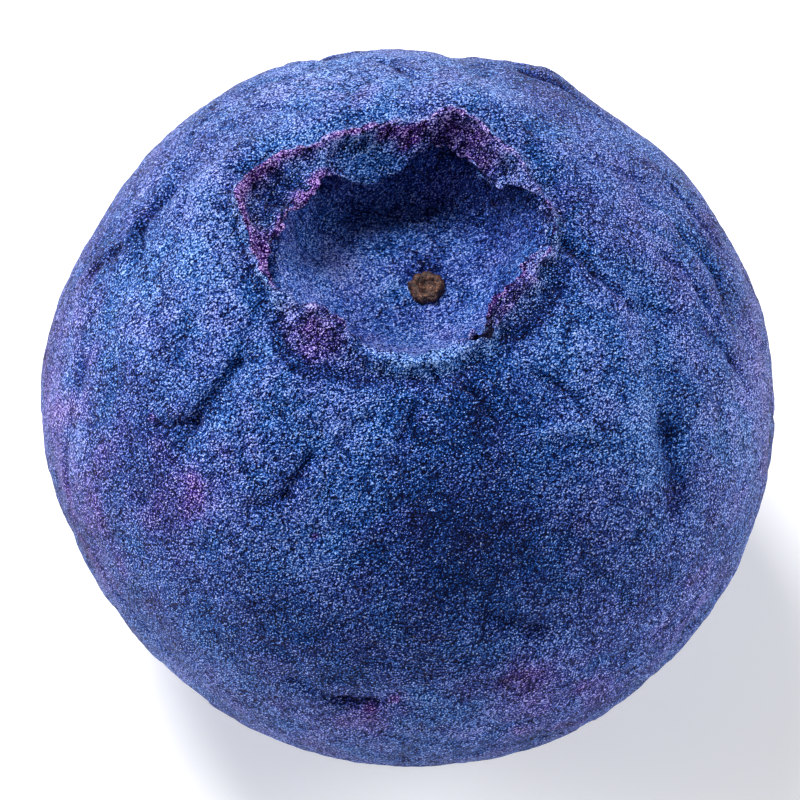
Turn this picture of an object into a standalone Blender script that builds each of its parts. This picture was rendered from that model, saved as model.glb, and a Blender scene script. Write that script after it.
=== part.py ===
"""A freeze-dried wild blueberry, standing on its stem end with its crown up.

The fruit grew as one piece, so it is one solid: a blank spun round the upright axis, whose vertices
are then placed by a formula. Bearings run round that axis from +X towards +Y, tilts rise from the
widest part towards the crown, and the side that faces a viewer is at -Y. Heights are measured from
the widest part, until the last step lifts the berry onto the surface that it stands on.
"""

import math
from collections import namedtuple

import bmesh
import bpy
import numpy as np

MM = 0.001

# The fruit's body, a full ellipse turned round the axis.
HALF_WIDTH = 5.0 * MM
STANDING_HEIGHT = 4.22 * MM
CROWN_END = 4.30 * MM
STEM_END = 4.50 * MM
FULLNESS = 2.15
SHOULDER_TURN = 54.0
HAUNCH_TURN = -64.0
SKIN_POINTS = 11

# How far the lumpy body is shifted, so that its bounding box is centred on the axis.
SHIFT_X = 0.012 * MM
SHIFT_Y = 0.043 * MM

# The crown's plain rim, where no sepal folds it, and the groove round its foot.
RIM_RADIUS = 1.92 * MM
RIM_HEIGHT = 4.12 * MM
RIM_LIP = 0.19 * MM
GROOVE_OUT = 0.15 * MM
GROOVE_HEIGHT = 3.92 * MM
EDGE_THICKNESS = 0.15 * MM

# The cup inside the crown, a bowl on the viewer's side and a steep wall on the far side.
BOWL = ((1.56, 3.66), (1.34, 3.36), (1.06, 3.13), (0.74, 3.00), (0.42, 2.95))
FAR_DROP = (-0.50, -0.62, -0.36, -0.16, -0.04)
FAR_SPREAD = (0.26, 0.30, 0.26, 0.12, 0.00)
NEAR_RISE = (0.06, 0.08, 0.06, 0.03, 0.00)

# The scar of the style on the cup's floor, and the pit of the stem's scar underneath.
STYLE_RADIUS = 0.24 * MM
STYLE_HEIGHT = 2.95 * MM
STYLE_RISE = 0.07 * MM
STYLE_SIDEWAYS = 0.24 * MM
STEM_PIT_RADIUS = 0.55 * MM
STEM_PIT_DEPTH = 0.30 * MM

# Each sepal: its bearing and half width in degrees, then in millimetres how far its crest lies
# outside the plain rim, how far its edge reaches in from the rim's, how much higher it stands, how
# far its edge droops below its crest, how deep its face is hollowed, and how far its foot spreads.
Sepal = namedtuple("Sepal", "bearing half_width swell reach rise droop hollow foot")
SEPALS = (
    Sepal(151, 16, 0.32, 0.26, 0.12, 0.04, 0.34, 0.02),
    Sepal(169, 17, 0.25, 0.02, 0.06, 0.04, 0.20, 0.00),
    Sepal(103, 20, 0.05, 0.36, 0.00, 0.58, 0.00, 0.00),
    Sepal(70, 11, 0.22, -0.10, 0.08, 0.40, 0.00, 0.00),
    Sepal(50, 14, 0.10, 0.11, 0.04, 0.46, 0.04, 0.00),
    Sepal(14, 20, 0.05, -0.11, 0.00, 0.02, 0.00, 0.00),
    Sepal(-34, 25, -0.21, 0.28, 0.12, 0.02, 0.00, 0.12),
    Sepal(-128, 16, -0.18, 0.21, 0.10, 0.02, 0.00, 0.40),
    Sepal(-168, 13, 0.02, -0.14, 0.00, 0.00, 0.00, 0.00),
)
SEPAL_SQUARENESS = 2.6

# Broad lumps and hollows of the dried flesh: bearing, tilt and spread in degrees, lift in mm.
Lump = namedtuple("Lump", "bearing tilt spread lift")
LUMPS = (
    Lump(-146, -18, 28, -0.15),
    Lump(154, 15, 13, -0.11),
    Lump(-99, -32, 24, -0.05),
    Lump(26, 15, 12, -0.06),
    Lump(50, 22, 10, -0.09),
    Lump(64, 29, 5, 0.08),
    Lump(-77, 32, 12, -0.06),
    Lump(-30, 50, 9, 0.08),
    Lump(-45, 36, 10, 0.07),
    Lump(-15, 33, 10, 0.05),
    Lump(-155, 42, 10, 0.06),
    Lump(-122, 42, 11, 0.06),
    Lump(178, 48, 12, 0.05),
    Lump(-64, 5, 18, 0.04),
    Lump(95, -10, 22, -0.10),
    Lump(112, 28, 14, 0.05),
    Lump(86, 34, 12, -0.06),
    Lump(10, -25, 20, -0.08),
    Lump(60, -20, 16, 0.06),
    Lump(175, -10, 16, 0.06),
)

# Creases drawn from one bearing and tilt to another, with their width and depth in mm.
Crease = namedtuple("Crease", "bearing tilt to_bearing to_tilt width depth")
CREASES = (
    Crease(3, 62, -8, 46, 0.20, 0.10),
    Crease(-12, 46, -32, 34, 0.26, 0.08),
    Crease(-32, 34, -41, 22, 0.24, 0.06),
    Crease(-141, 53, -141, 37, 0.24, 0.09),
    Crease(-99, 6, -90, 7, 0.20, 0.06),
    Crease(-78, 24, -69, 17, 0.24, 0.06),
    Crease(150, 43, 178, 38, 0.22, 0.06),
    Crease(14, 36, -1, 23, 0.22, 0.06),
    Crease(74, 42, 82, 24, 0.26, 0.09),
    Crease(104, 34, 112, 12, 0.26, 0.09),
    Crease(132, 4, 120, -18, 0.28, 0.09),
    Crease(84, 4, 96, -20, 0.28, 0.08),
    Crease(44, 0, 30, -24, 0.28, 0.09),
    Crease(-165, 2, -158, -24, 0.28, 0.07),
    Crease(-40, -8, -52, -32, 0.28, 0.07),
    Crease(158, -38, 118, -44, 0.30, 0.08),
    Crease(8, -44, 50, -40, 0.30, 0.08),
    Crease(-92, -46, -128, -42, 0.30, 0.07),
)

BEARING_STEPS = 96


def full_ellipse(turn, height):
    """Radius and height on the body's outline at an angle above the widest part, in degrees."""
    angle = np.radians(turn)
    power = 2 / FULLNESS
    return HALF_WIDTH * np.cos(angle) ** power, height * np.sin(angle) ** power


def sepal_sum(bearings, measure):
    """One of the sepals' sizes, summed over all of them at each bearing, in metres."""
    total = np.zeros_like(bearings)
    for sepal in SEPALS:
        off = (bearings - math.radians(sepal.bearing) + math.pi) % math.tau - math.pi
        share = np.exp(-np.abs(off / math.radians(sepal.half_width)) ** SEPAL_SQUARENESS)
        total += getattr(sepal, measure) * MM * share
    return total


def skin_points(count):
    """Control points from the stem's pit up to the shoulder, the same at every bearing."""
    ground = -STEM_END + 0.13 * MM
    points = [
        (0, ground + STEM_PIT_DEPTH),
        (0.6 * STEM_PIT_RADIUS, ground + STEM_PIT_DEPTH),
        (STEM_PIT_RADIUS, ground + 0.35 * STEM_PIT_DEPTH),
        (1.25 * STEM_PIT_RADIUS, ground - 0.02 * MM),
    ]
    step = math.radians(SHOULDER_TURN - HAUNCH_TURN) / (SKIN_POINTS - 1)
    keep_size = 1 / (1 - step**2 / 6)
    for turn in np.linspace(HAUNCH_TURN, SHOULDER_TURN, SKIN_POINTS):
        if turn < 0:
            radius, depth = full_ellipse(-turn, STEM_END)
            height = -depth
        else:
            radius, height = full_ellipse(turn, CROWN_END)
        points.append((radius * keep_size, height * keep_size))
    return [(np.full(count, r), np.full(count, z)) for r, z in points]


def crown_points(bearings):
    """Control points over the crown and down into the cup, at each bearing."""
    near = np.clip(-np.sin(bearings), 0, 1)
    far = np.clip(np.sin(bearings), 0, 1)
    crest = RIM_RADIUS + sepal_sum(bearings, "swell")
    crest_height = RIM_HEIGHT + sepal_sum(bearings, "rise")
    edge = RIM_RADIUS - RIM_LIP - sepal_sum(bearings, "reach")
    edge_height = crest_height - 0.03 * MM - sepal_sum(bearings, "droop")
    groove = crest + GROOVE_OUT + sepal_sum(bearings, "foot")
    hollow = sepal_sum(bearings, "hollow")
    fold = crest - edge
    steep = np.clip((crest_height - edge_height) / (0.4 * MM), 0, 1)
    under = edge + 0.10 * MM + 0.10 * MM * steep
    under_height = edge_height - EDGE_THICKNESS + 0.12 * MM * steep
    points = [
        (groove + 0.50 * MM, GROOVE_HEIGHT - 0.07 * MM + np.zeros_like(bearings)),
        (groove + 0.17 * MM, GROOVE_HEIGHT + 0.06 * MM + np.zeros_like(bearings)),
        (groove, GROOVE_HEIGHT + np.zeros_like(bearings)),
        (crest + 0.06 * MM, crest_height - 0.11 * MM),
        (crest - 0.01 * MM, crest_height + 0.05 * MM),
        (edge + 0.60 * fold, edge_height + 0.60 * (crest_height - edge_height) - hollow),
        (edge + 0.03 * MM, edge_height + 0.04 * MM),
        (edge - 0.03 * MM, edge_height - 0.05 * MM),
        (under, under_height),
        (np.maximum(under, 1.70 * MM + 0.30 * MM * far), under_height - 0.10 * MM),
    ]
    for (radius, height), drop, spread, rise in zip(BOWL, FAR_DROP, FAR_SPREAD, NEAR_RISE):
        points.append((
            (radius + spread * far) * MM,
            (height + drop * far + rise * near) * MM,
        ))
    floor = STYLE_HEIGHT + np.zeros_like(bearings)
    points += [
        (STYLE_RADIUS + 0.03 * MM + np.zeros_like(bearings), floor - 0.03 * MM),
        (STYLE_RADIUS - 0.01 * MM + np.zeros_like(bearings), floor + STYLE_RISE),
        (0.5 * STYLE_RADIUS + np.zeros_like(bearings), floor + STYLE_RISE),
        (np.zeros_like(bearings), floor + 0.5 * STYLE_RISE),
    ]
    return points


def smooth_section(points, stations):
    """Radius and height on a cubic B-spline through control points, one station for each bearing."""
    axis_end = (-points[1][0], points[1][1])
    far_end = (-points[-2][0], points[-2][1])
    polygon = np.array([np.broadcast_arrays(*p) for p in [axis_end, *points, far_end]])
    last = len(points) - 1
    start = np.minimum(stations.astype(int), last - 1)
    t = stations - start
    weights = (
        (1 - t) ** 3,
        3 * t**3 - 6 * t**2 + 4,
        -3 * t**3 + 3 * t**2 + 3 * t + 1,
        t**3,
    )
    columns = np.arange(len(stations))
    return sum(w * polygon[start + k, :, columns].T for k, w in enumerate(weights)) / 6


def direction(bearing, tilt):
    """The unit vector at a bearing and tilt in degrees."""
    b, t = math.radians(bearing), math.radians(tilt)
    return np.array([math.cos(t) * math.cos(b), math.cos(t) * math.sin(b), math.sin(t)])


def relief(ways):
    """How far the dried skin is lifted along each unit direction from the middle."""
    lift = np.zeros(len(ways))
    for lump in LUMPS:
        apart = np.arccos(np.clip(ways @ direction(lump.bearing, lump.tilt), -1, 1))
        lift += lump.lift * MM * np.exp(-(apart / math.radians(lump.spread)) ** 2)
    for crease in CREASES:
        start = direction(crease.bearing, crease.tilt)
        run = direction(crease.to_bearing, crease.to_tilt) - start
        along = np.clip((ways - start) @ run / (run @ run), 0, 1)
        apart = np.linalg.norm(ways - start - along[:, None] * run, axis=1) * HALF_WIDTH
        lift -= crease.depth * MM * np.exp(-(apart / (crease.width * MM)) ** 2)
    return lift


def berry_places(bearings, stations):
    """Where each vertex lies, from its bearing and its station along the section."""
    skin = skin_points(len(bearings))
    radius, height = smooth_section(skin + crown_points(bearings), stations)
    places = np.stack([radius * np.cos(bearings), radius * np.sin(bearings), height], axis=1)
    size = np.linalg.norm(places, axis=1)
    on_skin = np.clip((len(skin) + 1.5 - stations) / 3, 0, 1)
    places *= (1 + on_skin * relief(places / size[:, None]) / size)[:, None]
    in_cup = np.clip(1 - radius / (1.5 * MM), 0, 1) * (stations > len(skin) + 6)
    places[:, 0] += STYLE_SIDEWAYS * in_cup**2 * (3 - 2 * in_cup)
    places += (SHIFT_X, SHIFT_Y, STANDING_HEIGHT)
    places[:, 2] = np.maximum(places[:, 2], 0)
    return places


def spun_blank(stations, steps):
    """A closed blank spun round the axis. Each vertex keeps its place along the profile."""
    blank = bmesh.new()
    place = blank.verts.layers.float.new("station")
    chain = []
    for station in stations:
        turn = math.pi * station / stations[-1]
        vertex = blank.verts.new((math.sin(turn), 0.0, -math.cos(turn)))
        vertex[place] = station
        chain.append(vertex)
    edges = [blank.edges.new(pair) for pair in zip(chain, chain[1:])]
    bmesh.ops.spin(
        blank,
        geom=chain + edges,
        axis=(0, 0, 1),
        cent=(0, 0, 0),
        angle=math.tau,
        steps=steps,
        use_merge=True,
    )
    bmesh.ops.remove_doubles(blank, verts=blank.verts, dist=1e-5)
    bmesh.ops.recalc_face_normals(blank, faces=blank.faces)
    return blank


def berry_mesh():
    last = len(skin_points(1)) + len(crown_points(np.zeros(1))) - 1
    blank = spun_blank(np.arange(0, last + 0.1, 0.5), BEARING_STEPS)
    place = blank.verts.layers.float["station"]
    stations = np.array([v[place] for v in blank.verts])
    bearings = np.array([math.atan2(v.co.y, v.co.x) for v in blank.verts])
    for vertex, spot in zip(blank.verts, berry_places(bearings, stations)):
        vertex.co = spot
    mesh = bpy.data.meshes.new("berry")
    blank.to_mesh(mesh)
    blank.free()
    return mesh


def skin_material():
    material = bpy.data.materials.new("bloomed_skin")
    material.use_nodes = True
    shader = material.node_tree.nodes["Principled BSDF"]
    shader.inputs["Base Color"].default_value = (0.10, 0.16, 0.42, 1.0)
    shader.inputs["Roughness"].default_value = 0.8
    shader.inputs["Metallic"].default_value = 0.0
    return material


def build():
    for old in list(bpy.data.objects):
        bpy.data.objects.remove(old)
    mesh = berry_mesh()
    mesh.materials.append(skin_material())
    mesh.shade_smooth()
    berry = bpy.data.objects.new("berry", mesh)
    bpy.context.scene.collection.objects.link(berry)


build()
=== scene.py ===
"""The looks of a freeze-dried wild blueberry, standing on its stem end with its crown up.

The skin is spun round the upright axis and placed by the same sections as the solid, with many more
rings, torn sepal edges and the fine crumple of dried skin. Bearings run from +X towards +Y, tilts
rise from the widest part towards the crown, and the side that faces the viewer is at -Y.
"""

import math
from collections import namedtuple

import bmesh
import bpy
import numpy as np
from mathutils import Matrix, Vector, noise


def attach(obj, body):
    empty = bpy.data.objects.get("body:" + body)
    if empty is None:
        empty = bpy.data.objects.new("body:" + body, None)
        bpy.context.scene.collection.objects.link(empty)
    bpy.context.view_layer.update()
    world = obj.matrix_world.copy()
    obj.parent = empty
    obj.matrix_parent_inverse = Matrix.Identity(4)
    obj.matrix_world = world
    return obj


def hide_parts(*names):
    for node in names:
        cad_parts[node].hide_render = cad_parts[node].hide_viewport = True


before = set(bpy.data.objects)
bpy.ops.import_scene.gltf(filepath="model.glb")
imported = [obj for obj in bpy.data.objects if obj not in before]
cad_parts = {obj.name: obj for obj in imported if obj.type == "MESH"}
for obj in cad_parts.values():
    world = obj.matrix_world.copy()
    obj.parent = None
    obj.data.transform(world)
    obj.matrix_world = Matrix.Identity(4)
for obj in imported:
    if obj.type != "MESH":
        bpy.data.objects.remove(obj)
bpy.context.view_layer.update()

MM = 0.001

# The fruit's body, a full ellipse turned round the axis. Its skin runs from the haunch, so many
# degrees below the widest part, up to the shoulder, and is shifted to centre its box in plan.
HALF_WIDTH = 5.0 * MM
STANDING_HEIGHT = 4.22 * MM
CROWN_END = 4.30 * MM
STEM_END = 4.50 * MM
FULLNESS = 2.15
SHOULDER_TURN = 54.0
HAUNCH_TURN = -64.0
SKIN_POINTS = 11
SHIFT_X = 0.012 * MM
SHIFT_Y = 0.043 * MM

# The crown's plain rim, where no sepal folds it, and the groove round its foot.
RIM_RADIUS = 1.92 * MM
RIM_HEIGHT = 4.12 * MM
RIM_LIP = 0.19 * MM
GROOVE_OUT = 0.15 * MM
GROOVE_HEIGHT = 3.92 * MM
EDGE_THICKNESS = 0.15 * MM

# The cup inside the crown, as rings of radius and height in mm. On the far side each ring drops and
# spreads into a steep wall, and on the near side it rises a little.
BOWL = ((1.56, 3.66), (1.34, 3.36), (1.06, 3.13), (0.74, 3.00), (0.42, 2.95))
FAR_DROP = (-0.50, -0.62, -0.36, -0.16, -0.04)
FAR_SPREAD = (0.26, 0.30, 0.26, 0.12, 0.00)
NEAR_RISE = (0.06, 0.08, 0.06, 0.03, 0.00)

# The scar of the style on the cup's floor, and the pit of the stem's scar underneath.
STYLE_RADIUS = 0.24 * MM
STYLE_HEIGHT = 2.95 * MM
STYLE_SEAT = -0.02 * MM
STYLE_SIDEWAYS = 0.24 * MM
STEM_PIT_RADIUS = 0.55 * MM
STEM_PIT_DEPTH = 0.30 * MM
STEM_FLATTENED = 0.13 * MM

# Each sepal: its bearing and half width in degrees, then in millimetres how far its crest lies
# outside the plain rim, how far its edge reaches in from the rim's, how much higher it stands, how
# far its edge droops below its crest, how deep its face is hollowed, and how far its foot spreads.
Sepal = namedtuple("Sepal", "bearing half_width swell reach rise droop hollow foot")
SEPALS = (
    Sepal(151, 16, 0.32, 0.26, 0.12, 0.04, 0.34, 0.02),
    Sepal(169, 17, 0.25, 0.02, 0.06, 0.04, 0.20, 0.00),
    Sepal(107, 23, 0.05, 0.35, 0.00, 0.57, 0.00, 0.00),
    Sepal(70, 11, 0.22, -0.10, 0.08, 0.40, 0.00, 0.00),
    Sepal(50, 14, 0.10, 0.11, 0.04, 0.46, 0.04, 0.00),
    Sepal(14, 20, 0.05, -0.14, 0.00, 0.02, 0.00, 0.00),
    Sepal(-34, 25, -0.21, 0.28, 0.12, 0.02, 0.00, 0.12),
    Sepal(-128, 16, -0.18, 0.21, 0.10, 0.02, 0.00, 0.40),
    Sepal(-168, 13, 0.02, -0.14, 0.00, 0.00, 0.00, 0.00),
)
SEPAL_SQUARENESS = 2.6
# The wide sepal at the back that hangs into the cup with an even edge.
HANGING_SEPAL = SEPALS[2]
# Up to this bearing, in radians, the crown is less ragged where its dust is rubbed off.
EVEN_UP_TO = 2.2

# Broad lumps and hollows of the dried flesh: bearing, tilt and spread in degrees, lift in mm.
Lump = namedtuple("Lump", "bearing tilt spread lift")
LUMPS = (
    Lump(-146, -18, 28, -0.15),
    Lump(154, 15, 13, -0.11),
    Lump(-99, -32, 24, -0.05),
    Lump(26, 15, 12, -0.06),
    Lump(50, 22, 10, -0.09),
    Lump(64, 29, 5, 0.08),
    Lump(-77, 32, 12, -0.06),
    Lump(-30, 50, 9, 0.08),
    Lump(-45, 36, 10, 0.07),
    Lump(-15, 33, 10, 0.05),
    Lump(-155, 42, 10, 0.06),
    Lump(-122, 42, 11, 0.06),
    Lump(178, 48, 12, 0.05),
    Lump(-64, 5, 18, 0.04),
    Lump(95, -10, 22, -0.10),
    Lump(112, 28, 14, 0.05),
    Lump(86, 34, 12, -0.06),
    Lump(10, -25, 20, -0.08),
    Lump(60, -20, 16, 0.06),
    Lump(175, -10, 16, 0.06),
)

# Creases drawn from one bearing and tilt to another, with their width and depth in mm.
Crease = namedtuple("Crease", "bearing tilt to_bearing to_tilt width depth")
CREASES = (
    Crease(3, 62, -8, 46, 0.20, 0.10),
    Crease(-12, 46, -32, 34, 0.26, 0.08),
    Crease(-32, 34, -41, 22, 0.24, 0.06),
    Crease(-141, 53, -141, 37, 0.24, 0.09),
    Crease(-99, 6, -90, 7, 0.20, 0.06),
    Crease(-78, 24, -69, 17, 0.24, 0.06),
    Crease(150, 43, 178, 38, 0.22, 0.06),
    Crease(14, 36, -1, 23, 0.22, 0.06),
    Crease(74, 42, 82, 24, 0.26, 0.09),
    Crease(104, 34, 112, 12, 0.26, 0.09),
    Crease(132, 4, 120, -18, 0.28, 0.09),
    Crease(84, 4, 96, -20, 0.28, 0.08),
    Crease(44, 0, 30, -24, 0.28, 0.09),
    Crease(-165, 2, -158, -24, 0.28, 0.07),
    Crease(-40, -8, -52, -32, 0.28, 0.07),
    Crease(158, -38, 118, -44, 0.30, 0.08),
    Crease(8, -44, 50, -40, 0.30, 0.08),
    Crease(-92, -46, -128, -42, 0.30, 0.07),
)

# Finer creases of the same kind, too narrow for the solid.
FINE_CREASES = (
    Crease(3, 63, -8, 57, 0.07, 0.06),
    Crease(-8, 57, -12, 49, 0.08, 0.06),
    Crease(-12, 49, -8, 40, 0.08, 0.04),
    Crease(155, 43, 165, 39, 0.08, 0.06),
    Crease(165, 39, 174, 41, 0.07, 0.05),
    Crease(169, 35, 172, 29, 0.07, 0.06),
    Crease(159, 48, 167, 49, 0.07, 0.04),
    Crease(-154, 60, -144, 53, 0.08, 0.05),
    Crease(-144, 53, -142, 41, 0.09, 0.07),
    Crease(-142, 41, -150, 34, 0.08, 0.05),
    Crease(-113, 47, -116, 40, 0.09, 0.06),
    Crease(-116, 40, -122, 36, 0.07, 0.04),
    Crease(-108, 7, -100, 4, 0.08, 0.05),
    Crease(-100, 4, -95, 5, 0.07, 0.07),
    Crease(-90, 7, -85, 6, 0.08, -0.05),
    Crease(-77, 22, -69, 17, 0.08, 0.06),
    Crease(-57, 48, -46, 45, 0.10, -0.06),
    Crease(-31, 33, -38, 23, 0.14, 0.06),
    Crease(67, 35, 58, 34, 0.09, 0.06),
    Crease(58, 34, 44, 38, 0.08, 0.04),
    Crease(15, 38, 8, 30, 0.08, 0.05),
    Crease(8, 30, -1, 28, 0.08, 0.05),
    Crease(27, 35, 16, 28, 0.08, 0.05),
    Crease(6, 43, 1, 36, 0.08, 0.05),
    Crease(1, 36, -5, 31, 0.08, 0.05),
    Crease(-7, 35, -9, 27, 0.08, 0.05),
    Crease(-9, 27, -11, 20, 0.08, 0.04),
    Crease(-17, 62, -24, 65, 0.07, 0.05),
    Crease(-174, 30, -168, 24, 0.08, 0.04),
    Crease(-165, 19, -160, 8, 0.08, 0.04),
    Crease(-142, -1, -131, -6, 0.08, 0.04),
    Crease(-70, 60, -66, 54, 0.08, 0.05),
    Crease(-88, 58, -92, 52, 0.07, 0.04),
    Crease(-100, 56, -108, 50, 0.07, 0.04),
    Crease(-48, 58, -44, 50, 0.07, 0.04),
    Crease(34, 52, 26, 42, 0.08, 0.04),
    Crease(120, 54, 128, 46, 0.08, 0.04),
    Crease(88, 50, 96, 40, 0.08, 0.05),
    Crease(100, 30, 112, 20, 0.09, 0.05),
    Crease(70, 12, 84, 4, 0.09, 0.05),
    Crease(140, 10, 134, -4, 0.09, 0.05),
    Crease(60, -6, 52, -22, 0.09, 0.05),
    Crease(20, 4, 26, -12, 0.09, 0.05),
    Crease(-170, -14, -176, -30, 0.09, 0.05),
    Crease(100, -24, 110, -40, 0.09, 0.05),
    Crease(-60, -20, -48, -34, 0.09, 0.05),
)

# Patches of colour on the skin: bearing, tilt and spread in degrees, and how strong each is.
Patch = namedtuple("Patch", "bearing tilt spread strength")
# The dark bloom patches at bearings -77 and -98, low on the side facing the viewer, are painted
# shade, and the pale ones at the left and right edges (bearings -168 and -12) are painted light; the
# rest are the bloom's own patches.
BLOOM_AND_LIGHT_PATCHES = (
    Patch(177, 55, 14, 0.38),
    Patch(-141, 58, 9, 0.25),
    Patch(92, 53, 24, 0.25),
    Patch(116, 45, 18, 0.15),
    Patch(-30, 50, 10, 0.15),
    Patch(-77, 33, 15, -0.50),
    Patch(-96, 40, 9, -0.06),
    Patch(-65, 50, 8, -0.20),
    Patch(-83, 55, 8, -0.15),
    Patch(60, 36, 12, -0.15),
    Patch(30, 38, 12, 0.16),
    Patch(-38, 34, 16, 0.10),
    Patch(-110, 40, 9, 0.08),
    Patch(-105, 54, 8, 0.28),
    Patch(-128, 18, 12, -0.08),
    Patch(-51, 17, 14, -0.12),
    Patch(-98, 17, 12, -0.30),
    Patch(-90, -5, 12, 0.16),
    Patch(-168, 20, 12, 0.25),
    Patch(-12, 20, 12, 0.28),
)
PURPLE_PATCHES = (
    Patch(-134, 34, 9, 0.45),
    Patch(-154, 6, 20, 0.45),
    Patch(178, 15, 18, 0.35),
    Patch(-96, 2, 7, 0.45),
    Patch(-107, -16, 18, 0.25),
    Patch(-67, -3, 12, 0.40),
    Patch(-72, 10, 6, 0.35),
    Patch(0, 12, 24, 0.30),
    Patch(-40, 0, 20, 0.25),
    Patch(150, 30, 14, 0.20),
    Patch(100, 0, 30, 0.30),
    Patch(40, -20, 30, 0.30),
)
DUST_PATCHES = (
    Patch(-90, -4, 12, -0.30),
    Patch(177, 50, 14, -0.30),
    Patch(-30, 58, 9, -0.30),
    Patch(-100, 52, 14, -0.30),
    Patch(-52, 44, 10, -0.25),
    Patch(10, 52, 12, 0.30),
    Patch(150, 44, 14, 0.25),
    Patch(-150, 30, 12, 0.20),
    Patch(-60, 28, 14, 0.15),
    Patch(0, 30, 14, 0.20),
    Patch(-77, 33, 16, -0.15),
)
PURPLE_SPECKS = (
    Patch(-96, 3, 1.6, 0.9),
    Patch(-92, 6, 1.0, 0.9),
    Patch(-108, 35, 0.8, 0.9),
    Patch(-150, 36, 1.2, 0.7),
    Patch(-128, 30, 1.4, 0.5),
    Patch(160, 20, 1.2, 0.7),
    Patch(75, 10, 1.2, 0.7),
    Patch(130, -12, 1.5, 0.7),
    Patch(20, -8, 1.2, 0.7),
)

# Where the crown is purple, darker, painted with highlights or rubbed clear: bearing and half width
# in degrees, the stretch of stations along the section, and how strong.
Blush = namedtuple("Blush", "bearing half_width start end strength")
CROWN_PURPLE = (
    Blush(157, 34, 18.4, 19.4, 0.95),
    Blush(146, 20, 20.6, 22.3, 0.95),
    Blush(172, 16, 20.6, 22.0, 0.85),
    Blush(155, 34, 19.4, 20.6, 0.25),
    Blush(108, 18, 18.7, 19.3, 0.85),
    Blush(97, 8, 19.2, 19.9, 0.80),
    Blush(88, 8, 19.2, 20.6, 0.85),
    Blush(64, 24, 19.2, 22.2, 0.60),
    Blush(62, 36, 18.7, 19.3, 0.75),
    Blush(12, 28, 18.9, 19.5, 0.85),
    Blush(-36, 28, 18.2, 20.4, 0.40),
    Blush(-34, 28, 20.4, 22.3, 0.95),
    Blush(-131, 24, 17.0, 20.0, 0.46),
    Blush(-128, 22, 20.0, 22.0, 0.50),
    Blush(-172, 18, 18.4, 21.6, 0.85),
)
# Partly the crown's own darker skin, and partly painted shade: in the groove round the crown's foot
# (stations 16 to 18) and under the torn edges, down the cup's wall (stations past 22).
CROWN_DARK_AND_SHADE = (
    Blush(158, 28, 19.4, 20.5, 0.30),
    Blush(157, 34, 18.2, 19.5, 0.22),
    Blush(-172, 18, 18.2, 19.4, 0.20),
    Blush(180, 44, 16.9, 17.8, 0.30),
    Blush(12, 28, 18.6, 19.5, 0.18),
    Blush(-34, 26, 18.2, 22.3, 0.10),
    Blush(108, 22, 21.0, 22.2, 0.08),
    Blush(165, 34, 22.3, 24.4, 0.42),
    Blush(108, 22, 22.2, 23.2, 0.28),
    Blush(97, 8, 19.2, 19.8, 0.32),
    Blush(88, 8, 19.2, 20.6, 0.36),
    Blush(62, 22, 19.3, 21.4, 0.19),
    Blush(70, 42, 22.5, 24.6, 0.24),
    Blush(12, 28, 19.6, 21.0, 0.12),
    Blush(-34, 28, 16.2, 17.4, 0.34),
    Blush(-34, 26, 22.4, 23.4, 0.20),
    Blush(-130, 30, 16.2, 17.2, 0.34),
    Blush(-128, 24, 17.6, 20.0, 0.10),
    Blush(-92, 26, 16.4, 17.2, 0.16),
    Blush(-120, 30, 22.3, 23.0, 0.18),
    Blush(-174, 18, 19.4, 21.6, 0.24),
)
# Painted highlights along the crown's crests and torn edges, and painted light on the near rim and on
# the hanging sepal's face.
CROWN_HIGHLIGHTS = (
    Blush(55, 34, 18.8, 19.1, 0.24),
    Blush(58, 26, 21.6, 22.1, 0.24),
    Blush(150, 34, 18.7, 19.1, 0.14),
    Blush(146, 20, 21.6, 22.0, 0.22),
    Blush(108, 18, 20.0, 22.0, 0.08),
    Blush(-85, 34, 18.6, 21.4, 0.16),
    Blush(-128, 22, 21.4, 22.0, 0.22),
    Blush(-36, 24, 21.6, 22.1, 0.20),
)
CROWN_CLEAR = (
    Blush(106, 26, 20.2, 22.4, 1.00),
    Blush(150, 26, 19.7, 20.8, 0.60),
    Blush(118, 24, 16.0, 18.4, 0.50),
    Blush(-85, 34, 17.5, 21.4, 0.60),
)
BLUSH_FADE = 0.25

# The torn slit in the sepal on the near right, as the bearings and radii of its two ends.
SLIT_ENDS = ((-59, 1.73), (-46, 1.67))
SLIT_WIDTH = 0.155 * MM
SLIT_DEPTH = 0.28 * MM

# The short cracks round the style's scar: the way each runs and its spread in degrees, and how far
# it reaches from the scar's middle in mm.
STYLE_CRACKS = ((98, 9, 0.62), (128, 8, 0.52), (66, 8, 0.50), (30, 7, 0.42), (160, 8, 0.42))

# The side of each grain of skin that is painted lighter, as painted light from the lamps: up, back
# and to the left.
LIT_GRAIN_SIDE = (-0.53, 0.60, 0.60)

# The section runs through numbered stations, one for each of its control points. The stem's pit
# comes first, then the skin, the crown, the cup and the seat of the style's scar.
SKIN_START = 4
CROWN_START = 15
CUP_START = 25
SEAT_START = 30
SEAT_END = 33
RING_STATIONS = np.concatenate([
    np.arange(0, SKIN_START, 0.5),
    np.arange(SKIN_START, CROWN_START, 0.08),
    np.arange(CROWN_START, CUP_START, 0.2),
    np.arange(CUP_START, SEAT_START, 0.25),
    np.arange(SEAT_START, SEAT_END + 0.1, 0.75),
])
BEARING_STEPS = 440

# Where one part of the section passes into the next, as the two stations that it fades between.
STEM_EDGE = (2.2, 3.8)
CROWN_FOOT = (16.5, 18)
SLIT_OUTSIDE = (17, 18.5)
SLIT_INSIDE = (22, 23)
CUP_EDGE = (22.5, 24.5)
CROWN_INSIDE = (23, 25)
CUP_FLOOR = (26, 28)
STYLE_EDGE = (29.5, 31)
# Where the painted highlight along the crown's crest lies, and how far it spreads, in stations.
CREST_HIGHLIGHT_STATION = 19.3
CREST_HIGHLIGHT_SPREAD = 0.6

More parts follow.
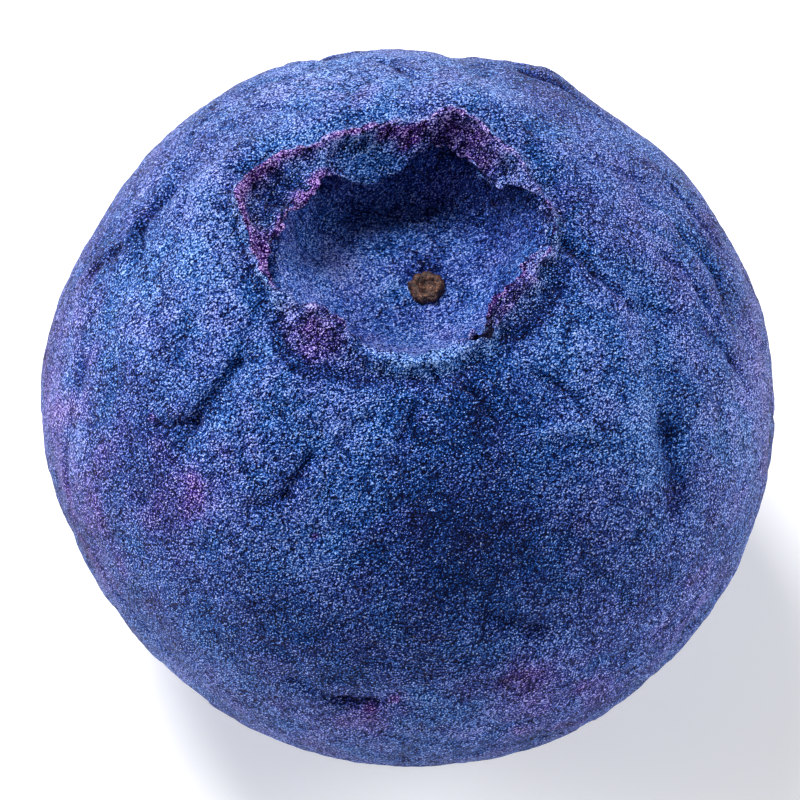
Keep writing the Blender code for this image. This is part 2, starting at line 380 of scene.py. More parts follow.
# The style's scar, as radius and height in mm from its middle over its rim to its underside.
SCAR_PROFILE = (
    (0.000, 0.050),
    (0.050, 0.045),
    (0.090, 0.065),
    (0.140, 0.100),
    (0.190, 0.095),
    (0.230, 0.060),
    (0.240, 0.010),
    (0.225, -0.050),
    (0.120, -0.080),
    (0.000, -0.080),
)
SCAR_RINGS = 46
SCAR_STEPS = 96

# Colours from the deepest grain to the palest, each at its tone between 0 and 1.
CLEAR_BLUES = (
    (0.02, (0, 7, 42)),
    (0.30, (2, 38, 105)),
    (0.52, (18, 77, 162)),
    (0.72, (63, 124, 211)),
    (0.98, (168, 200, 254)),
)
DUSTY_BLUES = (
    (0.02, (2, 6, 38)),
    (0.30, (16, 29, 98)),
    (0.52, (46, 66, 152)),
    (0.72, (94, 115, 209)),
    (0.98, (190, 195, 254)),
)
PURPLES = (
    (0.02, (6, 0, 30)),
    (0.30, (30, 6, 78)),
    (0.52, (70, 28, 130)),
    (0.72, (120, 70, 184)),
    (0.98, (218, 186, 250)),
)
STRAWS = (
    (0.10, (46, 30, 34)),
    (0.50, (112, 84, 70)),
    (0.90, (176, 146, 118)),
)
BROWNS = (
    (0.32, (12, 6, 8)),
    (0.50, (58, 30, 24)),
    (0.62, (110, 66, 44)),
    (0.76, (214, 170, 130)),
)
# The colour of the painted glints, tiny highlights painted into the skin, and of the painted shade in
# the torn slit.
PAINTED_GLINT = (178, 200, 255)
SLIT_SHADE = (8, 6, 18)
SHEEN = (190, 172, 246)

# Each soft lamp's place and size in metres, and its power in watts.
LAMPS = (
    ("key", (-0.18, 0.24, 0.46), 0.24, 3.9),
    ("left", (-0.50, 0.02, 0.20), 0.25, 2.0),
    ("right", (0.50, 0.04, 0.20), 0.25, 2.1),
    ("fill", (0.00, -0.50, 0.34), 0.40, 0.4),
)

# The view: its angle above the level in degrees, and in pixels the picture's size, the berry's
# width in it, and how far to the left and above the berry's middle the lens is aimed.
VIEW_ELEVATION = 58
PICTURE_PIXELS = 800
BERRY_PIXELS = 733
AIM_LEFT = 7
AIM_UP = 8


def full_ellipse(turn, height):
    """Radius and height on the body's outline at an angle above the widest part, in degrees."""
    angle = np.radians(turn)
    power = 2 / FULLNESS
    return HALF_WIDTH * np.cos(angle) ** power, height * np.sin(angle) ** power


def share_of(bearings, span):
    """1 in the middle of a sepal or a blush and 0 past its sides."""
    off = (bearings - math.radians(span.bearing) + math.pi) % math.tau - math.pi
    return np.exp(-np.abs(off / math.radians(span.half_width)) ** SEPAL_SQUARENESS)


def blush_sum(bearings, stations, blushes):
    """How strongly the crown's blushes colour each bearing and station."""
    total = np.zeros(len(bearings))
    for blush in blushes:
        along = ramp(stations, blush.start - BLUSH_FADE, blush.start + BLUSH_FADE)
        along *= 1 - ramp(stations, blush.end - BLUSH_FADE, blush.end + BLUSH_FADE)
        total = np.maximum(total, blush.strength * along * share_of(bearings, blush))
    return total


def sepal_sum(bearings, measure):
    """One of the sepals' sizes, summed over all of them at each bearing, in metres."""
    return sum(getattr(sepal, measure) * MM * share_of(bearings, sepal) for sepal in SEPALS)


def tear(bearings, waves, seed):
    """An uneven line round the crown, scaled to run from about -1 to 1."""
    columns = np.round(bearings / math.tau * BEARING_STEPS).astype(int) % BEARING_STEPS
    around = np.arange(BEARING_STEPS) / BEARING_STEPS * math.tau
    line = [noise.noise(Vector((waves * math.cos(a), waves * math.sin(a), seed))) for a in around]
    return 1.6 * np.array(line)[columns]


def skin_points(count):
    """Control points from the stem's pit up to the shoulder, the same at every bearing."""
    ground = -STEM_END + STEM_FLATTENED
    points = [
        (0, ground + STEM_PIT_DEPTH),
        (0.6 * STEM_PIT_RADIUS, ground + STEM_PIT_DEPTH),
        (STEM_PIT_RADIUS, ground + 0.35 * STEM_PIT_DEPTH),
        (1.25 * STEM_PIT_RADIUS, ground - 0.02 * MM),
    ]
    step = math.radians(SHOULDER_TURN - HAUNCH_TURN) / (SKIN_POINTS - 1)
    keep_size = 1 / (1 - step**2 / 6)
    for turn in np.linspace(HAUNCH_TURN, SHOULDER_TURN, SKIN_POINTS):
        if turn < 0:
            radius, depth = full_ellipse(-turn, STEM_END)
            height = -depth
        else:
            radius, height = full_ellipse(turn, CROWN_END)
        points.append((radius * keep_size, height * keep_size))
    return [(np.full(count, r), np.full(count, z)) for r, z in points]


def crown_points(bearings):
    """Control points over the torn crown and down into the cup, at each bearing."""
    near = np.clip(-np.sin(bearings), 0, 1)
    far = np.clip(np.sin(bearings), 0, 1)
    level = np.zeros_like(bearings)
    crest = RIM_RADIUS + sepal_sum(bearings, "swell")
    crest += 0.035 * MM * tear(bearings, 5, 1.3) + 0.020 * MM * tear(bearings, 14, 4.1)
    crest_height = RIM_HEIGHT + sepal_sum(bearings, "rise")
    crest_height += 0.030 * MM * tear(bearings, 6, 7.7) + 0.020 * MM * tear(bearings, 16, 2.9)
    edge = RIM_RADIUS - RIM_LIP - sepal_sum(bearings, "reach")
    ragged = 1 - 0.85 * share_of(bearings, HANGING_SEPAL)
    edge += ragged * MM * (0.050 * tear(bearings, 6, 3.1) + 0.035 * tear(bearings, 18, 5.5))
    edge_height = crest_height - 0.03 * MM - sepal_sum(bearings, "droop")
    edge_height += ragged * 0.030 * MM * tear(bearings, 8, 9.2)
    groove = crest + GROOVE_OUT + sepal_sum(bearings, "foot") + 0.02 * MM * tear(bearings, 9, 6.4)
    hollow = sepal_sum(bearings, "hollow")
    fold = crest - edge
    steep = np.clip((crest_height - edge_height) / (0.4 * MM), 0, 1)
    under = edge + 0.10 * MM + 0.10 * MM * steep
    under_height = edge_height - EDGE_THICKNESS + 0.12 * MM * steep
    # From the groove over the crest and the torn edge to the wall under it.
    points = [
        (groove + 0.50 * MM, GROOVE_HEIGHT - 0.07 * MM + level),
        (groove + 0.17 * MM, GROOVE_HEIGHT + 0.06 * MM + level),
        (groove, GROOVE_HEIGHT + level),
        (crest + 0.06 * MM, crest_height - 0.11 * MM),
        (crest - 0.01 * MM, crest_height + 0.05 * MM),
        (edge + 0.60 * fold, edge_height + 0.60 * (crest_height - edge_height) - hollow),
        (edge + 0.03 * MM, edge_height + 0.04 * MM),
        (edge - 0.03 * MM, edge_height - 0.05 * MM),
        (under, under_height),
        (np.maximum(under, 1.70 * MM + 0.30 * MM * far), under_height - 0.10 * MM),
    ]
    for (radius, height), drop, spread, rise in zip(BOWL, FAR_DROP, FAR_SPREAD, NEAR_RISE):
        points.append((
            (radius + spread * far) * MM,
            (height + drop * far + rise * near) * MM,
        ))
    floor = STYLE_HEIGHT + level
    points += [
        (STYLE_RADIUS + 0.05 * MM + level, floor - 0.03 * MM),
        (STYLE_RADIUS - 0.03 * MM + level, floor + STYLE_SEAT),
        (0.5 * STYLE_RADIUS + level, floor + STYLE_SEAT),
        (level, floor + STYLE_SEAT),
    ]
    return points


def smooth_section(points, stations):
    """Radius and height on a cubic B-spline through control points, one station for each bearing."""
    axis_end = (-points[1][0], points[1][1])
    far_end = (-points[-2][0], points[-2][1])
    polygon = np.array([np.broadcast_arrays(*p) for p in [axis_end, *points, far_end]])
    last = len(points) - 1
    start = np.minimum(stations.astype(int), last - 1)
    t = stations - start
    weights = (
        (1 - t) ** 3,
        3 * t**3 - 6 * t**2 + 4,
        -3 * t**3 + 3 * t**2 + 3 * t + 1,
        t**3,
    )
    columns = np.arange(len(stations))
    return sum(w * polygon[start + k, :, columns].T for k, w in enumerate(weights)) / 6


def direction(bearing, tilt):
    """The unit vector at a bearing and tilt in degrees."""
    b, t = math.radians(bearing), math.radians(tilt)
    return np.array([math.cos(t) * math.cos(b), math.cos(t) * math.sin(b), math.sin(t)])


def crease_sum(ways, creases, sharpness=1.0):
    """How deep in creases each unit direction from the middle lies, in millimetres."""
    depth = np.zeros(len(ways))
    for crease in creases:
        start = direction(crease.bearing, crease.tilt)
        run = direction(crease.to_bearing, crease.to_tilt) - start
        along = np.clip((ways - start) @ run / (run @ run), 0, 1)
        apart = np.linalg.norm(ways - start - along[:, None] * run, axis=1) * HALF_WIDTH
        depth += crease.depth * np.exp(-(apart * sharpness / (crease.width * MM)) ** 2)
    return depth


def relief(ways):
    """How far the dried skin is lifted along each unit direction from the middle."""
    lift = np.zeros(len(ways))
    for lump in LUMPS:
        apart = np.arccos(np.clip(ways @ direction(lump.bearing, lump.tilt), -1, 1))
        lift += lump.lift * MM * np.exp(-(apart / math.radians(lump.spread)) ** 2)
    return lift - crease_sum(ways, CREASES) * MM


def patch_sum(ways, patches):
    """The strength of the colour patches that reach each unit direction."""
    total = np.zeros(len(ways))
    for patch in patches:
        apart = np.arccos(np.clip(ways @ direction(patch.bearing, patch.tilt), -1, 1))
        total += patch.strength * np.exp(-(apart / math.radians(patch.spread)) ** 2)
    return total


def berry_places(bearings, stations):
    """Where each vertex lies, from its bearing and its station along the section."""
    skin = skin_points(len(bearings))
    radius, height = smooth_section(skin + crown_points(bearings), stations)
    places = np.stack([radius * np.cos(bearings), radius * np.sin(bearings), height], axis=1)
    size = np.linalg.norm(places, axis=1)
    on_skin = np.clip((CROWN_START + 1.5 - stations) / 3, 0, 1)
    places *= (1 + on_skin * relief(places / size[:, None]) / size)[:, None]
    in_cup = np.clip(1 - radius / (1.5 * MM), 0, 1) * (stations > CROWN_START + 6)
    places[:, 0] += STYLE_SIDEWAYS * in_cup**2 * (3 - 2 * in_cup)
    places += (SHIFT_X, SHIFT_Y, STANDING_HEIGHT)
    return places


def spin_round(blank, chain, steps, merge):
    """Spins a chain of vertices round the upright axis into one closed surface."""
    edges = [blank.edges.new(pair) for pair in zip(chain, chain[1:])]
    bmesh.ops.spin(
        blank,
        geom=chain + edges,
        axis=(0, 0, 1),
        cent=(0, 0, 0),
        angle=math.tau,
        steps=steps,
        use_merge=True,
    )
    bmesh.ops.remove_doubles(blank, verts=blank.verts, dist=merge)
    bmesh.ops.recalc_face_normals(blank, faces=blank.faces)


def spun_blank():
    """A closed blank whose rings keep their stations along the section."""
    blank = bmesh.new()
    layer = blank.verts.layers.float.new("station")
    chain = []
    for station in RING_STATIONS:
        turn = math.pi * station / RING_STATIONS[-1]
        vertex = blank.verts.new((math.sin(turn), 0.0, -math.cos(turn)))
        vertex[layer] = station
        chain.append(vertex)
    spin_round(blank, chain, BEARING_STEPS, merge=1e-5)
    return blank


def put_at(blank, places):
    for vertex, spot in zip(blank.verts, places):
        vertex.co = spot


def ramp(value, low, high):
    """0 below low, 1 above high, and smooth between them."""
    t = np.clip((value - low) / (high - low), 0, 1)
    return t * t * (3 - 2 * t)


def crumple(places, wave, octaves, seed):
    """Uneven folds of dried skin at each place, about -1 to 1, with waves of that length in mm."""
    offset = Vector((seed, 2.3 * seed, 5.1 * seed))
    return np.array([
        noise.fractal(Vector(p) / (wave * MM) + offset, 0.8, 2.1, octaves) for p in places
    ])


def ridges(places, wave, seed):
    """Sharp little creases at each place: 0 on open skin, 1 in a crease."""
    offset = Vector((3.7 * seed, seed, 1.9 * seed))
    sharp = np.array([noise.noise(Vector(p) / (wave * MM) + offset) for p in places])
    return np.clip(1 - 5.0 * np.abs(sharp), 0, 1)


def slit_depth(places):
    """How deep in the torn slit each place lies, from 0 outside to 1 at its middle."""
    (b0, r0), (b1, r1) = SLIT_ENDS
    start = r0 * MM * np.array([math.cos(math.radians(b0)), math.sin(math.radians(b0))])
    end = r1 * MM * np.array([math.cos(math.radians(b1)), math.sin(math.radians(b1))])
    run = end - start
    flat = places[:, :2] - (SHIFT_X, SHIFT_Y) - start
    along = np.clip(flat @ run / (run @ run), 0, 1)
    apart = np.linalg.norm(flat - along[:, None] * run, axis=1)
    width = SLIT_WIDTH * (1 - 0.45 * np.abs(2 * along - 0.8))
    return 1 - ramp(apart, 0.40 * width, 0.95 * width)


def style_cracks(places):
    """1 in the short dark cracks that run out from the style's scar on its far side."""
    flat = places[:, :2] - (SHIFT_X + STYLE_SIDEWAYS, SHIFT_Y)
    away = np.linalg.norm(flat, axis=1) / MM
    ways = np.degrees(np.arctan2(flat[:, 1], flat[:, 0]))
    total = np.zeros(len(places))
    for way, spread, reach in STYLE_CRACKS:
        off = (ways - way + 180) % 360 - 180
        total = np.maximum(total, np.exp(-(off / spread) ** 2) * (1 - ramp(away, 0.6 * reach, reach)))
    return total


class DriedSkin:
    """The skin at each vertex, as arrays: where it lies, how it is folded and how it is coloured."""

    def __init__(self, bearings, stations):
        self.bearings = bearings
        self.stations = stations
        self.places = berry_places(bearings, stations)
        middle = self.places - (SHIFT_X, SHIFT_Y, STANDING_HEIGHT)
        self.ways = middle / np.linalg.norm(middle, axis=1)[:, None]
        self.in_crown = ramp(stations, *CROWN_FOOT) * (1 - ramp(stations, *CROWN_INSIDE))
        self.in_cup = ramp(stations, *CUP_EDGE)
        self.outside = 1 - self.in_cup
        self.clear = blush_sum(bearings, stations, CROWN_CLEAR)
        self.leather = ridges(self.places, 0.62, 2.0)
        self.leather *= ramp(crumple(self.places, 1.1, 2, 6.0), -0.3, 0.4)
        self.short = ridges(self.places, 0.30, 4.0)
        self.torn = crumple(self.places, 0.16, 2, 18.0)
        self.crevices = ridges(self.places, 0.28, 9.0)
        wander = crumple(self.places, 0.5, 2, 30.0)[:, None] * self.ways[:, [1, 2, 0]] * 0.016
        self.furrows = 1.2 * crease_sum(self.ways + wander, FINE_CREASES)
        self.furrows *= self.outside * (1 - self.in_crown)
        self.slit = slit_depth(self.places) * ramp(stations, *SLIT_OUTSIDE)
        self.slit *= 1 - ramp(stations, *SLIT_INSIDE)

    def wrinkle(self, normals):
        """Moves each vertex along its normal into the wrinkles, the crown's rags and the slit."""
        in_style = ramp(self.stations, *STYLE_EDGE)
        broad = crumple(self.places, 1.6, 3, 1.0)
        small = crumple(self.places, 0.34, 3, 3.0)
        lift = 0.022 * broad - 0.028 * self.leather + 0.014 * small - 0.010 * self.short
        lift *= 1 - 0.6 * in_style - 0.5 * self.in_cup * (1 - in_style)
        lift -= self.furrows
        ragged = 0.042 * crumple(self.places, 0.22, 3, 8.0) - 0.035 * self.crevices
        even = 0.8 * self.clear * (self.bearings < EVEN_UP_TO)
        lift += self.in_crown * (ragged + 0.015 * self.torn) * (1 - even)
        self.places = self.places + normals * (lift * MM)[:, None]
        self.places -= normals * (SLIT_DEPTH * self.slit)[:, None]
        self.places[:, 2] = np.maximum(self.places[:, 2], 0)

    def purple(self):
        """How purple the skin is, most of all where the crown is torn."""
        patchy = 0.5 + 0.5 * crumple(self.places, 0.5, 3, 12.0)
        share = blush_sum(self.bearings, self.stations, CROWN_PURPLE)
        share *= 0.78 + 0.35 * patchy + 0.22 * self.torn
        share += patch_sum(self.ways, PURPLE_PATCHES) * (0.25 + 1.1 * patchy) * self.outside
        share = np.maximum(share, patch_sum(self.ways, PURPLE_SPECKS))
        share += 0.10 * ramp(crumple(self.places, 0.35, 2, 14.0), 0.35, 0.6) * self.outside
        return np.clip(share, 0, 1)

    def dust(self):
        """How far a violet dust dulls the blue, less where it is rubbed off or caught in a crease."""
        share = 0.46 + 0.55 * crumple(self.places, 0.7, 4, 21.0)
        share += patch_sum(self.ways, DUST_PATCHES) * self.outside
        share -= self.clear + 0.7 * self.leather * self.outside
        share -= 0.5 * crease_sum(self.ways, CREASES, 0.8) * self.outside / 0.08
        return np.clip(share, 0, 1)

    def bloom_and_painted_light(self):
        """How pale the skin is, from bare and dark at 0 to thick wax at 1, partly from the wax and
        partly painted light and shade: painted shade in creases, crevices, the slit, the cracks round
        the style and under the crown's torn edges, painted highlights on the crown's crests and
        edges, and painted light on the cup's floor.
        """
        share = 0.56 + 0.13 * crumple(self.places, 1.1, 4, 16.0)
        share += 0.6 * patch_sum(self.ways, BLOOM_AND_LIGHT_PATCHES) * self.outside
        # Painted shade in the creases and along the leathery ridges and short creases.
        crease_shade = self.furrows / 0.06
        crease_shade += 0.5 * crease_sum(self.ways, CREASES, 1.6) * self.outside / 0.14
        share -= 0.12 * self.leather + 0.06 * self.short + 0.19 * crease_shade
        # Painted shade under the crown's torn edges, with some of its own darker skin, and painted
        # highlights on its crests and edges.
        share -= blush_sum(self.bearings, self.stations, CROWN_DARK_AND_SHADE)
        share += blush_sum(self.bearings, self.stations, CROWN_HIGHLIGHTS)
        # Paler or darker at random where the crown is torn, with painted shade in its little
        # crevices; the crest gets a painted highlight.
        rags_and_crevice_shade = 0.34 * self.torn - 0.30 * self.crevices + 0.05
        crest = np.exp(-((self.stations - CREST_HIGHLIGHT_STATION) / CREST_HIGHLIGHT_SPREAD) ** 2)
        share += rags_and_crevice_shade * self.in_crown * (1 - self.clear) + 0.03 * crest
        # Painted shade in the short cracks round the style's scar.
        share -= 0.45 * style_cracks(self.places) * self.in_cup
        # Painted light on the cup's floor, and painted shade on its far wall and on its right wall
        # above the floor.
        far_wall_shade = ramp(np.sin(self.bearings), 0.1, 0.8)
        right_wall_shade = ramp(np.cos(self.bearings), 0.1, 0.9) * (1 - ramp(self.stations, *CUP_FLOOR))
        share += self.in_cup * (0.20 - 0.16 * far_wall_shade - 0.16 * right_wall_shade)
        # Painted shade inside the torn slit.
        share *= 1 - 0.9 * self.slit
        return np.clip(share, 0, 1)

    def coarse(self):
        """How coarse the grain is, most in the crown's rags and least in the cup."""
        return 0.5 + 0.5 * self.in_crown * (1 - self.clear) - 0.4 * self.in_cup


def berry_skin():
    """The whole fruit's surface, with the marks of its colours, painted light and shade among them,
    kept as attributes.
    """
    blank = spun_blank()
    layer = blank.verts.layers.float["station"]
    stations = np.array([v[layer] for v in blank.verts])
    bearings = np.array([math.atan2(v.co.y, v.co.x) for v in blank.verts])
    skin = DriedSkin(bearings, stations)
    put_at(blank, skin.places)
    blank.normal_update()
    skin.wrinkle(np.array([v.normal for v in blank.verts]))
    put_at(blank, skin.places)

    mesh = bpy.data.meshes.new("berry_skin")
    blank.to_mesh(mesh)
    blank.free()
    marks = {
        "purple": skin.purple(),
        "bloom_and_painted_light": skin.bloom_and_painted_light(),
        "dust": skin.dust(),
        "coarse": skin.coarse(),
        "slit": skin.slit,
        "dry": 1 - ramp(stations, *STEM_EDGE),
    }
    for name, values in marks.items():
        mesh.attributes.new(name, "FLOAT", "POINT").data.foreach_set("value", values)
    mesh.shade_smooth()
    return mesh


def style_scar():
    """The brown, crumbled knob where the style broke off, in the middle of the cup."""
    corners = np.arange(len(SCAR_PROFILE))
    rings = np.linspace(0, corners[-1], SCAR_RINGS)
    radii, heights = (np.interp(rings, corners, column) for column in np.array(SCAR_PROFILE).T)
    blank = bmesh.new()
    chain = [blank.verts.new((r * MM, 0.0, h * MM)) for r, h in zip(radii, heights)]
    spin_round(blank, chain, SCAR_STEPS, merge=1e-8)
    bmesh.ops.smooth_vert(
        blank, verts=blank.verts, factor=0.5, use_axis_x=True, use_axis_y=True, use_axis_z=True
    )
    blank.normal_update()
    for vertex in blank.verts:
        around = math.atan2(vertex.co.y, vertex.co.x)
        out = 1 + 0.10 * noise.noise(Vector((2.0 * math.cos(around), 2.0 * math.sin(around), 0.5)))
        knots = noise.fractal(vertex.co / (0.09 * MM), 0.7, 2.1, 3)
        vertex.co.x *= out
        vertex.co.y *= out
        vertex.co += vertex.normal * 0.022 * MM * knots
    seat = Vector((SHIFT_X + STYLE_SIDEWAYS, SHIFT_Y, STANDING_HEIGHT + STYLE_HEIGHT))
    bmesh.ops.translate(blank, verts=blank.verts, vec=seat)
    mesh = bpy.data.meshes.new("style_scar")
    blank.to_mesh(mesh)
    blank.free()
    mesh.shade_smooth()
    return mesh


def srgb(red, green, blue):
    """A colour from its 0 to 255 values as seen on a screen."""
    linear = []
    for part in (red, green, blue):
        c = part / 255
        linear.append(c / 12.92 if c <= 0.04045 else ((c + 0.055) / 1.055) ** 2.4)
    return (*linear, 1.0)


class Paint:
    """A material's nodes, added and joined one at a time. Sizes and reaches are in millimetres."""

    def __init__(self, name):
        self.material = bpy.data.materials.new(name)
        self.material.use_nodes = True
        self.nodes = self.material.node_tree.nodes
        self.links = self.material.node_tree.links
        self.shader = self.nodes["Principled BSDF"]
        self.place = self.nodes.new("ShaderNodeTexCoord").outputs["Object"]

    def join(self, value, socket):
        if isinstance(value, bpy.types.NodeSocket):
            self.links.new(value, socket)
        else:
            socket.default_value = value

    def mark(self, name):
        """One of the mesh's own attributes."""
        reader = self.nodes.new("ShaderNodeAttribute")
        reader.attribute_name = name
        return reader.outputs["Fac"]

    def calc(self, operation, first, second, third=0.0):
        step = self.nodes.new("ShaderNodeMath")
        step.operation = operation
        for value, socket in zip((first, second, third), step.inputs):
            self.join(value, socket)
        return step.outputs["Value"]

    def add(self, base, value, weight):
        """The base with a value added to it at that weight."""
        return self.calc("MULTIPLY_ADD", value, weight, base)

    def move(self, operation, place, *by):
        """The place after a sum with vectors."""
        step = self.nodes.new("ShaderNodeVectorMath")
        step.operation = operation
        for value, socket in zip((place, *by), step.inputs):
            self.join(value, socket)
        return step.outputs["Vector"]

    def band(self, value, low, high, to_low=0.0, to_high=1.0):
        """Maps a value between two limits onto two others, smoothly."""
        step = self.nodes.new("ShaderNodeMapRange")
        step.interpolation_type = "SMOOTHSTEP"
        step.inputs["From Min"].default_value = low
        step.inputs["From Max"].default_value = high
        step.inputs["To Min"].default_value = to_low
        step.inputs["To Max"].default_value = to_high
        self.links.new(value, step.inputs["Value"])
        return step.outputs["Result"]

    def cloud(self, size, detail, roughness, place=None):
        step = self.nodes.new("ShaderNodeTexNoise")
        step.inputs["Scale"].default_value = 1 / (size * MM)
        step.inputs["Detail"].default_value = detail
        step.inputs["Roughness"].default_value = roughness
        self.links.new(place or self.place, step.inputs["Vector"])
        return step

    def speckle(self, size, detail, roughness, place=None):
        """Cloudy noise with features of that size."""
        return self.cloud(size, detail, roughness, place).outputs["Fac"]

    def warp(self, size, reach, squash):
        """The place, pushed about unevenly by up to that reach, then squashed in z."""
        push = self.cloud(size, 1, 0.5).outputs["Color"]
        pushed = self.move("MULTIPLY_ADD", push, (reach * MM, reach * MM, reach * MM), self.place)
        return self.move("MULTIPLY", pushed, (1.0, 1.0, squash))

    def lit_grains(self, size, detail, reach, place=None):
        """Grains of that size, painted lighter on their lit side as painted light and shade: above 0
        on the side towards the lamps.
        """
        beside = self.move("ADD", place or self.place, [reach * MM * part for part in LIT_GRAIN_SIDE])
        here = self.speckle(size, detail, 0.9, place)
        beyond = self.speckle(size, detail, 0.9, beside)
        return self.calc("SUBTRACT", here, beyond)

    def crumbs(self, size):
        """0 at the middle of each crumb of that size and about 1 between them."""
        cells = self.nodes.new("ShaderNodeTexVoronoi")
        cells.inputs["Scale"].default_value = 1 / (size * MM)
        self.links.new(self.place, cells.inputs["Vector"])
        return cells.outputs["Distance"]

    def veins(self, size, detail, width, place):
        """1 along thin winding lines that lie about that size apart, and 0 between them."""
        off = self.calc("SUBTRACT", self.speckle(size, detail, 0.6, place), 0.5)
        return self.band(self.calc("ABSOLUTE", off, 0.0), 0.0, width, 1.0, 0.0)

    def blend(self, share, first, second):
        """A mix of two colours, through the mix node's own colour sockets."""
        step = self.nodes.new("ShaderNodeMix")
        step.data_type = "RGBA"
        for value, socket in zip((share, first, second), (0, 6, 7)):
            self.join(value, step.inputs[socket])
        return step.outputs[2]

    def shades(self, value, stops):
        """Colours along a value."""
        step = self.nodes.new("ShaderNodeValToRGB")
        line = step.color_ramp.elements
        line[0].position = stops[0][0]
        line[1].position = stops[-1][0]
        for position, _ in stops[1:-1]:
            line.new(position)
        for element, (_, colour) in zip(line, stops):
            element.color = srgb(*colour)
        self.links.new(value, step.inputs["Fac"])
        return step.outputs["Color"]

    def bump(self, height, depth):
        """Relief of that depth."""
        step = self.nodes.new("ShaderNodeBump")
        step.inputs["Distance"].default_value = depth * MM
        self.links.new(height, step.inputs["Height"])
        return step.outputs["Normal"]


def bloomed_skin():
    """Blue skin under a pale, granular bloom of wax, finely cracked, purple where torn or rubbed,
    with painted shade in its crevices, painted glints, and grains painted lighter on their lit side.
    """
    paint = Paint("bloomed_skin")
    warped = paint.warp(0.22, 0.12, 0.6)
    crumb = paint.calc("SUBTRACT", paint.speckle(0.17, 3, 0.62), 0.5)
    bead = paint.lit_grains(0.095, 2, 0.027, warped)
    pits = paint.veins(0.095, 2, 0.055, warped)
    folds = paint.veins(0.26, 2, 0.045, warped)
    folds = paint.calc("MULTIPLY", folds, paint.band(paint.speckle(0.90, 3, 0.65), 0.42, 0.62))
    grain = paint.add(0.25, paint.crumbs(0.031), -0.5)
    grain = paint.calc("ADD", grain, paint.lit_grains(0.029, 2, 0.013))

    # The tone is how pale each spot is: the bloom with its painted light and shade, with every layer
    # of grain over it.
    grain_weight = paint.add(1.6, paint.mark("coarse"), 1.6)
    tone = paint.add(paint.mark("bloom_and_painted_light"), grain, grain_weight)
    # The pits and folds darken the tone, as painted shade in the skin's fine crevices.
    for layer, weight in ((crumb, 0.08), (bead, 0.75), (pits, -0.12), (folds, -0.26)):
        tone = paint.add(tone, layer, weight)
    tone = paint.calc("SUBTRACT", tone, 0.09)

    clear = paint.shades(tone, CLEAR_BLUES)
    dusty = paint.shades(tone, DUSTY_BLUES)
    skin = paint.blend(paint.mark("dust"), clear, dusty)
    tint = paint.calc("SUBTRACT", paint.speckle(0.55, 3, 0.6), 0.5)
    purple = paint.add(paint.mark("purple"), tint, 0.8)
    skin = paint.blend(paint.band(purple, 0.0, 0.9), skin, paint.shades(tone, PURPLES))
    # Painted glints: tiny specks of highlight painted into the colour.
    painted_glint = paint.band(paint.speckle(0.034, 0, 0.5), 0.76, 0.84, 0.0, 0.6)
    skin = paint.blend(painted_glint, skin, srgb(*PAINTED_GLINT))
    # The torn slit is painted nearly black, as painted shade.
    skin = paint.blend(paint.mark("slit"), skin, srgb(*SLIT_SHADE))
    skin = paint.blend(paint.mark("dry"), skin, paint.shades(tone, STRAWS))
    paint.join(skin, paint.shader.inputs["Base Color"])

    height = paint.calc("MULTIPLY", grain, 0.020)
    for layer, lift in ((crumb, 0.050), (bead, 0.030), (pits, -0.012), (folds, -0.034)):
        height = paint.add(height, layer, lift)
    paint.join(paint.bump(height, 1.0), paint.shader.inputs["Normal"])
    paint.shader.inputs["Roughness"].default_value = 0.5
    paint.shader.inputs["Specular IOR Level"].default_value = 0.04
    paint.shader.inputs["Sheen Weight"].default_value = 0.14
    paint.shader.inputs["Sheen Roughness"].default_value = 0.25
    paint.shader.inputs["Sheen Tint"].default_value = srgb(*SHEEN)
    return paint.material


def withered_brown():
    """The dry brown of the style's scar, with crumbs of straw colour."""
    paint = Paint("withered_brown")
    grain = paint.speckle(0.050, 3, 0.7)
    paint.join(paint.shades(grain, BROWNS), paint.shader.inputs["Base Color"])
    paint.join(paint.bump(grain, 0.025), paint.shader.inputs["Normal"])
    paint.shader.inputs["Roughness"].default_value = 0.6
    return paint.material


def show(name, mesh, material):
    mesh.materials.append(material)
    piece = bpy.data.objects.new(name, mesh)
    bpy.context.scene.collection.objects.link(piece)
    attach(piece, "root")
    return piece


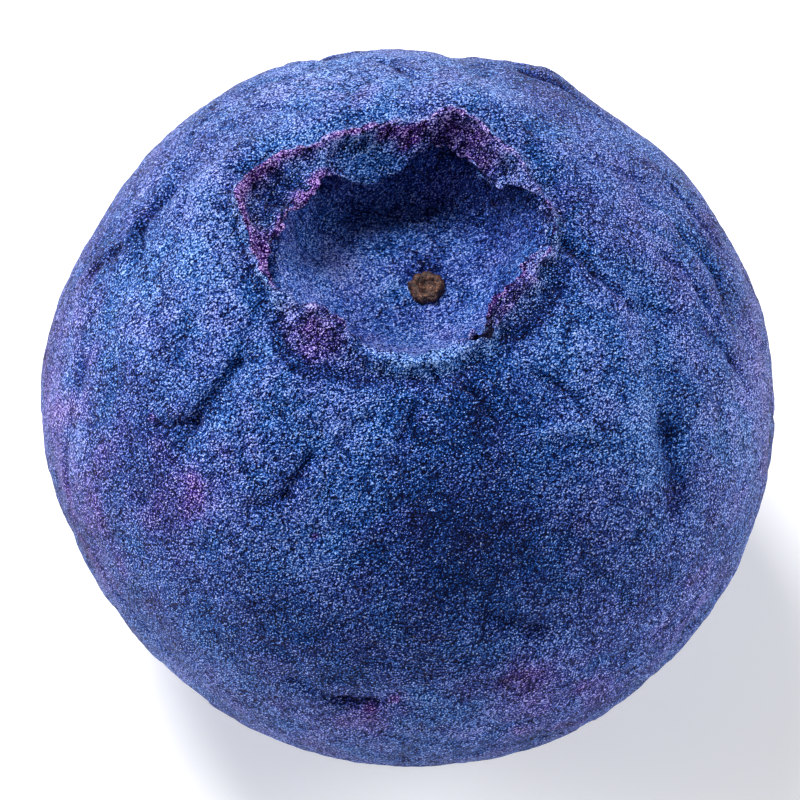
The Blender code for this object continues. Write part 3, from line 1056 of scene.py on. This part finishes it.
def studio():
    """A pale floor, and soft lamps above, behind and at both sides of the berry."""
    scene = bpy.context.scene
    slab = bmesh.new()
    bmesh.ops.create_grid(slab, x_segments=1, y_segments=1, size=3.0)
    ground = bpy.data.meshes.new("floor")
    slab.to_mesh(ground)
    slab.free()
    pale = bpy.data.materials.new("pale_floor")
    pale.use_nodes = True
    shader = pale.node_tree.nodes["Principled BSDF"]
    shader.inputs["Base Color"].default_value = (0.86, 0.86, 0.86, 1)
    shader.inputs["Roughness"].default_value = 0.9
    shader.inputs["Emission Color"].default_value = (1, 1, 1, 1)
    shader.inputs["Emission Strength"].default_value = 0.28
    ground.materials.append(pale)
    floor = bpy.data.objects.new("floor", ground)
    scene.collection.objects.link(floor)

    for name, place, size, power in LAMPS:
        light = bpy.data.lights.new(name, "AREA")
        light.shape = "SQUARE"
        light.size = size
        light.energy = power
        lamp = bpy.data.objects.new(name, light)
        lamp.location = place
        aim = Vector((0, 0, STANDING_HEIGHT)) - Vector(place)
        lamp.rotation_euler = aim.to_track_quat("-Z", "Y").to_euler()
        scene.collection.objects.link(lamp)

    world = bpy.data.worlds.new("studio_air")
    world.use_nodes = True
    world.node_tree.nodes["Background"].inputs["Color"].default_value = (0.97, 0.98, 1.0, 1)
    world.node_tree.nodes["Background"].inputs["Strength"].default_value = 0.14
    scene.world = world
    scene.view_settings.view_transform = "Standard"


def viewpoint():
    """A long lens from the viewer's side, looking down on the berry."""
    elevation = math.radians(VIEW_ELEVATION)
    back = Vector((0, -math.cos(elevation), math.sin(elevation)))
    up = Vector((0, math.sin(elevation), math.cos(elevation)))
    pixel = 2 * HALF_WIDTH / BERRY_PIXELS
    aim = Vector((-AIM_LEFT * pixel, 0, STANDING_HEIGHT)) + AIM_UP * pixel * up
    lens = bpy.data.cameras.new("viewpoint")
    lens.lens = 400
    lens.sensor_width = 36
    lens.clip_start = 0.01
    lens.clip_end = 10
    camera = bpy.data.objects.new("viewpoint", lens)
    camera.location = aim + back * (PICTURE_PIXELS * pixel * lens.lens / lens.sensor_width)
    camera.rotation_euler = back.to_track_quat("Z", "Y").to_euler()
    bpy.context.scene.collection.objects.link(camera)
    bpy.context.scene.camera = camera


berry = show("berry_skin", berry_skin(), bloomed_skin())
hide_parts("berry")
show("style_scar", style_scar(), withered_brown())
studio()
viewpoint()
